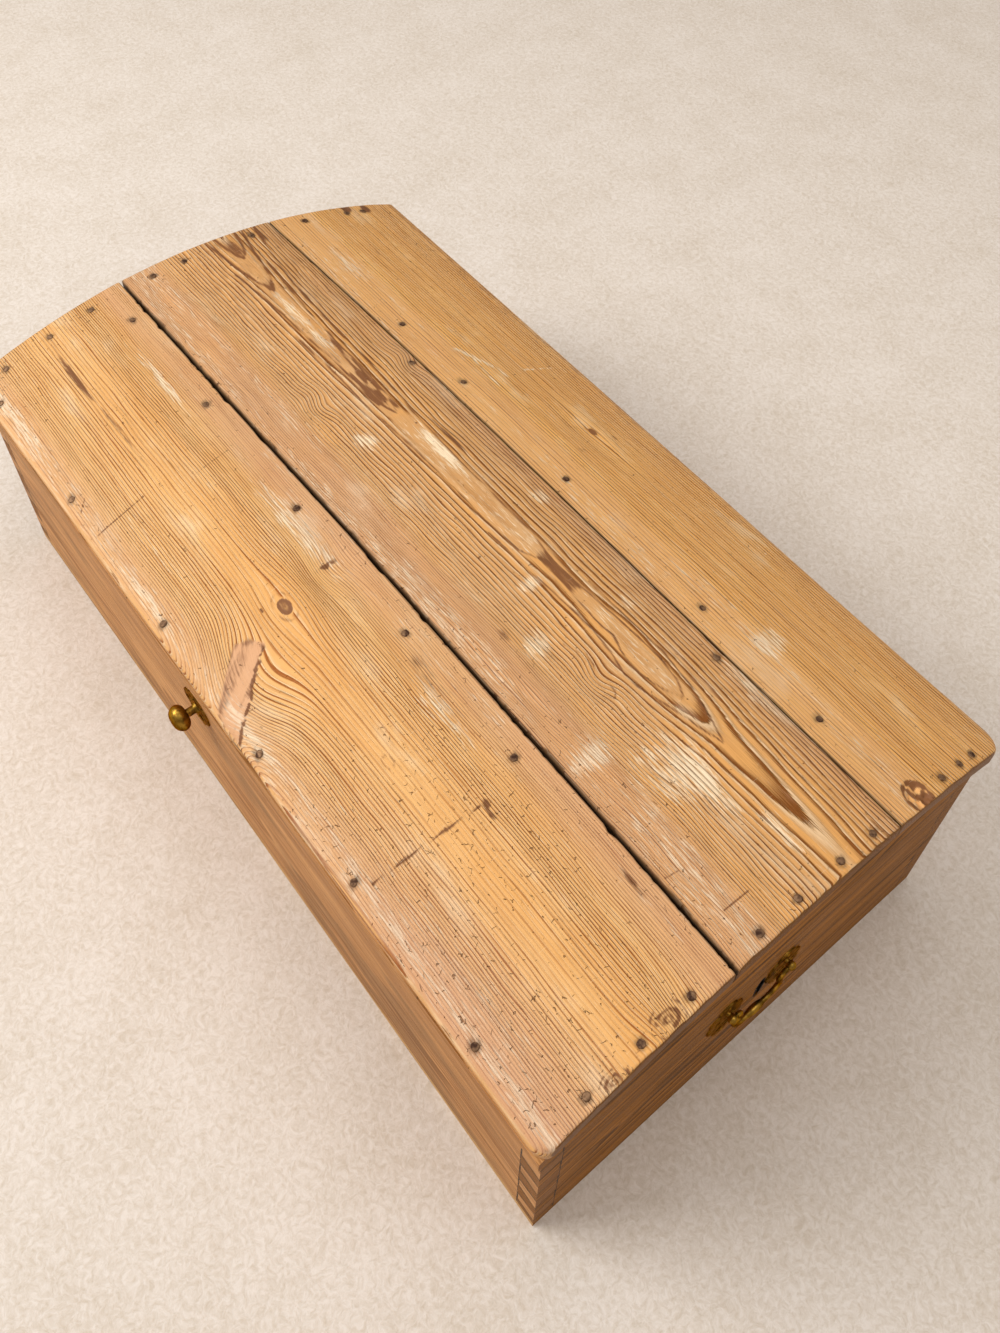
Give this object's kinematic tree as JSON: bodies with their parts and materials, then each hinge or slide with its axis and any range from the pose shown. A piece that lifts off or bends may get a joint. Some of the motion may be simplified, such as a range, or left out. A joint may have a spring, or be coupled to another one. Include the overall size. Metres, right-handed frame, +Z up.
{
  "type": "wooden trunk",
  "caption": "Long low wooden trunk with dovetailed corners, a low domed board lid nailed on arched ends and hinged at the back, hanging bail handles and a front knob.",
  "frame": {"origin": "centre of the box's underside", "axes": "+X along the trunk towards the end with the keyhole, +Y from the front with the knob to the hinged back, +Z up"},
  "size_m": [0.975, 0.5687, 0.3123],
  "materials": {
    "box_pine": "old waxed pine, mid brown, worn",
    "lid_pine": "old scrubbed pine, pale golden, ridged grain",
    "inner_pine": "bare pine",
    "aged_brass": "aged brass, dull with worn bright edges",
    "old_iron": "dark forged iron"
  },
  "bodies": {
    "box": {"front_board": "box_pine", "back_board": "box_pine", "near_end_board": "box_pine", "far_end_board": "box_pine", "bottom_board_front": "inner_pine", "bottom_board_middle": "inner_pine", "bottom_board_back": "inner_pine", "bottom_nails": "old_iron", "front_knob": "aged_brass", "knob_plate": "aged_brass", "knob_plate_pins": "aged_brass", "knob_nut": "aged_brass", "near_handle_front_post": "aged_brass", "near_handle_back_post": "aged_brass", "near_handle_front_plate": "aged_brass", "near_handle_back_plate": "aged_brass", "near_handle_nuts": "aged_brass", "near_handle_plate_pins": "aged_brass", "near_hinge_lower_leaf": "old_iron", "near_hinge_pin": "old_iron", "far_handle_front_post": "aged_brass", "far_handle_back_post": "aged_brass", "far_handle_front_plate": "aged_brass", "far_handle_back_plate": "aged_brass", "far_handle_nuts": "aged_brass", "far_handle_plate_pins": "aged_brass", "far_hinge_lower_leaf": "old_iron", "far_hinge_pin": "old_iron", "hinge_lower_screws": "old_iron", "lock_case": "old_iron", "lock_screws": "old_iron"},
    "lid": {"front_lid_board": "lid_pine", "middle_lid_board": "lid_pine", "back_lid_board": "lid_pine", "near_lid_arch": "box_pine", "far_lid_arch": "box_pine", "lid_front_rail": "lid_pine", "lid_back_rail": "inner_pine", "front_seam_batten": "inner_pine", "back_seam_batten": "inner_pine", "near_end_nails": "old_iron", "far_end_nails": "old_iron", "front_edge_nails": "old_iron", "front_seam_nails": "old_iron", "back_seam_nails": "old_iron", "near_hinge_upper_leaf": "old_iron", "far_hinge_upper_leaf": "old_iron", "hinge_upper_screws": "old_iron", "lid_staple": "old_iron", "staple_screws": "old_iron"},
    "near_bail": {"near_bail": "aged_brass"},
    "far_bail": {"far_bail": "aged_brass"},
    "lock_bolt": {"lock_bolt": "old_iron"}
  },
  "joints": [
    {"name": "lid_hinge", "type": "hinge", "parent": "box", "child": "lid", "pos_m": [0, 0.255, 0.225], "axis": [-1, 0, 0], "range_deg": [0, 90]},
    {"name": "near_bail_swing", "type": "hinge", "parent": "box", "child": "near_bail", "pos_m": [0.4825, -0.013, 0.172], "axis": [0, -1, 0], "range_deg": [0, 165]},
    {"name": "far_bail_swing", "type": "hinge", "parent": "box", "child": "far_bail", "pos_m": [-0.4825, -0.013, 0.172], "axis": [0, 1, 0], "range_deg": [0, 165]},
    {"name": "lock_bolt_slide", "type": "slide", "parent": "box", "child": "lock_bolt", "axis": [0, 1, 0], "range_m": [0, 0.008]}
  ]
}
